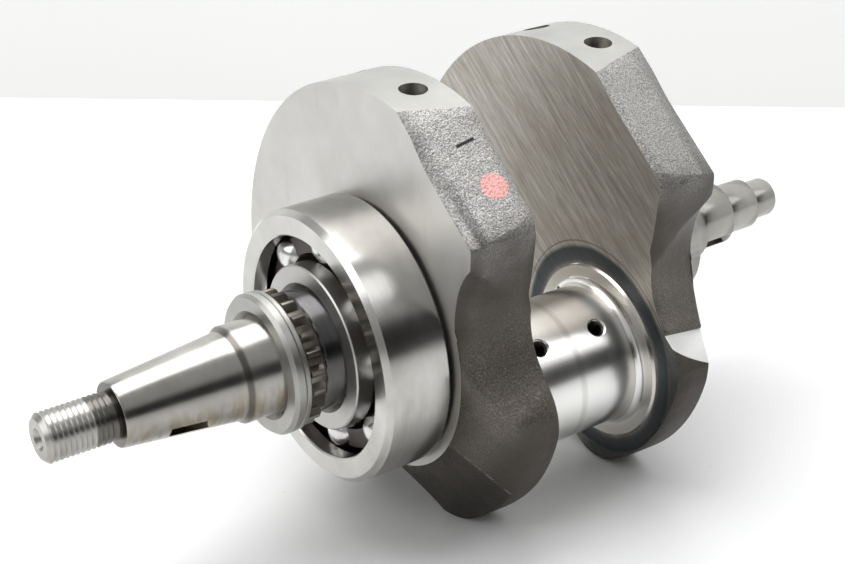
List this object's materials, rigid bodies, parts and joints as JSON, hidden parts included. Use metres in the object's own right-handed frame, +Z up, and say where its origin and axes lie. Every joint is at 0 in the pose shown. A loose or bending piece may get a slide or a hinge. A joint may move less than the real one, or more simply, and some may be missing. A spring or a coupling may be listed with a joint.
{
  "type": "crankshaft",
  "caption": "Single-throw crankshaft for two side-by-side rods, with counterweighted webs, tapered keyed nose, ball main bearing and oil pump pinion.",
  "frame": {"origin": "on the main axis, in the middle of the drive-end ball bearing", "axes": "+X along the main axis from the tapered nose toward the far end, +Z up from the bench the shaft rests on"},
  "size_m": [0.2565, 0.13, 0.1281],
  "materials": {
    "forged_steel": "forged flanks, ground faces and polished journals",
    "bearing_steel": "ground and polished",
    "ball_steel": "mirror polished",
    "cage_polymer": "moulded, dark brown",
    "collar_steel": "turned and faced",
    "pinion_steel": "hardened, dark",
    "plug_steel": "plain"
  },
  "bodies": {
    "crank": {"crankshaft": "forged_steel", "bearing_inner_ring": "bearing_steel", "thrust_collar": "collar_steel", "thrust_washer": "collar_steel", "drive_pinion": "pinion_steel", "pinion_key": "pinion_steel", "gallery_plugs": "plug_steel"},
    "outer_ring": {"bearing_outer_ring": "bearing_steel"},
    "cage": {"bearing_cage": "cage_polymer"},
    "ball_1": {"ball_1": "ball_steel"},
    "ball_2": {"ball_2": "ball_steel"},
    "ball_3": {"ball_3": "ball_steel"},
    "ball_4": {"ball_4": "ball_steel"},
    "ball_5": {"ball_5": "ball_steel"},
    "ball_6": {"ball_6": "ball_steel"},
    "ball_7": {"ball_7": "ball_steel"},
    "ball_8": {"ball_8": "ball_steel"}
  },
  "joints": [
    {"name": "outer_ring_spin", "type": "hinge", "parent": "crank", "child": "outer_ring", "pos_m": [0, 0, 0], "axis": [1, 0, 0], "continuous": true},
    {"name": "cage_spin", "type": "hinge", "parent": "crank", "child": "cage", "pos_m": [0, 0, 0], "axis": [1, 0, 0], "continuous": true},
    {"name": "ball_1_spin", "type": "hinge", "parent": "cage", "child": "ball_1", "pos_m": [0, -0.02033, 0.02033], "axis": [1, 0, 0], "continuous": true},
    {"name": "ball_2_spin", "type": "hinge", "parent": "cage", "child": "ball_2", "pos_m": [0, -0.02875, 0], "axis": [1, 0, 0], "continuous": true},
    {"name": "ball_3_spin", "type": "hinge", "parent": "cage", "child": "ball_3", "pos_m": [0, -0.02033, -0.02033], "axis": [1, 0, 0], "continuous": true},
    {"name": "ball_4_spin", "type": "hinge", "parent": "cage", "child": "ball_4", "pos_m": [0, 0, -0.02875], "axis": [1, 0, 0], "continuous": true},
    {"name": "ball_5_spin", "type": "hinge", "parent": "cage", "child": "ball_5", "pos_m": [0, 0.02033, -0.02033], "axis": [1, 0, 0], "continuous": true},
    {"name": "ball_6_spin", "type": "hinge", "parent": "cage", "child": "ball_6", "pos_m": [0, 0.02875, 0], "axis": [1, 0, 0], "continuous": true},
    {"name": "ball_7_spin", "type": "hinge", "parent": "cage", "child": "ball_7", "pos_m": [0, 0.02033, 0.02033], "axis": [1, 0, 0], "continuous": true},
    {"name": "ball_8_spin", "type": "hinge", "parent": "cage", "child": "ball_8", "pos_m": [0, 0, 0.02875], "axis": [1, 0, 0], "continuous": true}
  ],
  "couplings": [
    {"joint": "cage_spin", "follows": "outer_ring_spin", "ratio": 0.6174},
    {"joint": "ball_1_spin", "follows": "outer_ring_spin", "ratio": 2.0122},
    {"joint": "ball_2_spin", "follows": "outer_ring_spin", "ratio": 2.0122},
    {"joint": "ball_3_spin", "follows": "outer_ring_spin", "ratio": 2.0122},
    {"joint": "ball_4_spin", "follows": "outer_ring_spin", "ratio": 2.0122},
    {"joint": "ball_5_spin", "follows": "outer_ring_spin", "ratio": 2.0122},
    {"joint": "ball_6_spin", "follows": "outer_ring_spin", "ratio": 2.0122},
    {"joint": "ball_7_spin", "follows": "outer_ring_spin", "ratio": 2.0122},
    {"joint": "ball_8_spin", "follows": "outer_ring_spin", "ratio": 2.0122}
  ]
}
